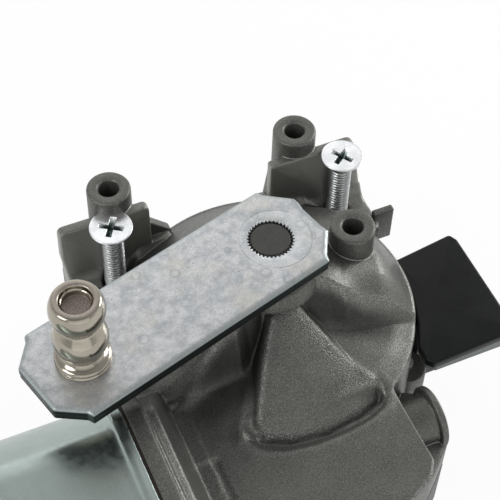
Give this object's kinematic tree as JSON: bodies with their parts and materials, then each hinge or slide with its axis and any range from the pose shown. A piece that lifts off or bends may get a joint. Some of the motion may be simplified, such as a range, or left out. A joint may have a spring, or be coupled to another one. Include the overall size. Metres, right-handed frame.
{
  "type": "wiper motor",
  "caption": "Windscreen wiper motor: geared DC motor with a worm drive in a die-cast housing, turning a crank arm with a double ball stud.",
  "frame": {"origin": "where the output shaft's axis crosses the plane of the mounting boss tops", "axes": "+Z out of the output shaft towards the crank, +X along the motor's axis away from the can, +Y towards the ears"},
  "size_m": [0.187, 0.1275, 0.0962],
  "materials": {
    "die_cast": "fine blasted die casting",
    "sintered": "sintered bronze",
    "seal_rubber": "matt",
    "cover_plastic": "moulded, fine grain",
    "gasket_rubber": "matt",
    "screw_steel": "zinc plated",
    "can_steel": "zinc plated, drawn",
    "ferrite": "sintered ferrite",
    "spring_steel": "bright",
    "bearing_steel": "ground",
    "card_plastic": "glass filled",
    "brass": "stamped",
    "carbon": "matt carbon",
    "copper": "enamelled copper",
    "copper_bright": "turned copper",
    "board_laminate": "solder resist",
    "spring_bronze": "stamped bronze",
    "connector_plastic": "moulded, satin",
    "terminal_tin": "tinned",
    "screw_zinc": "bright zinc",
    "shaft_steel": "ground steel",
    "wheel_plastic": "moulded acetal",
    "crank_zinc": "mottled zinc plate",
    "stud_nickel": "nickel plated, turned",
    "core_steel": "laminated steel"
  },
  "bodies": {
    "motor": {"gear_housing": "die_cast", "shaft_bushes": "sintered", "shaft_seal": "seal_rubber", "rear_cover": "cover_plastic", "cover_gasket": "gasket_rubber", "cover_screws": "screw_steel", "motor_can": "can_steel", "flange_gasket": "gasket_rubber", "can_screws": "screw_steel", "magnets": "ferrite", "magnet_clips": "spring_steel", "rear_bearing": "sintered", "front_bearing": "bearing_steel", "end_bearing": "sintered", "brush_card": "card_plastic", "brush_holders": "brass", "carbon_brushes": "carbon", "brush_springs": "spring_steel", "choke_coils": "copper", "thrust_screw": "screw_steel", "circuit_board": "board_laminate", "contact_fingers": "spring_bronze", "connector_housing": "connector_plastic", "connector_terminals": "terminal_tin", "mounting_screws": "screw_zinc"},
    "crank": {"output_shaft": "shaft_steel", "worm_wheel": "wheel_plastic", "wheel_hub": "shaft_steel", "contact_disc": "copper", "thrust_washers": "spring_steel", "retaining_ring": "spring_steel", "crank_arm": "crank_zinc", "ball_stud": "stud_nickel"},
    "armature": {"armature_shaft": "shaft_steel", "armature_core": "core_steel", "windings": "copper", "commutator": "copper_bright"}
  },
  "joints": [
    {"name": "output_turn", "type": "hinge", "parent": "motor", "child": "crank", "pos_m": [0, 0, 0], "axis": [0, 0, 1], "continuous": true},
    {"name": "armature_turn", "type": "hinge", "parent": "motor", "child": "armature", "pos_m": [0, -0.0385, -0.0355], "axis": [1, 0, 0], "continuous": true}
  ],
  "couplings": [
    {"joint": "armature_turn", "follows": "output_turn", "ratio": -66}
  ]
}
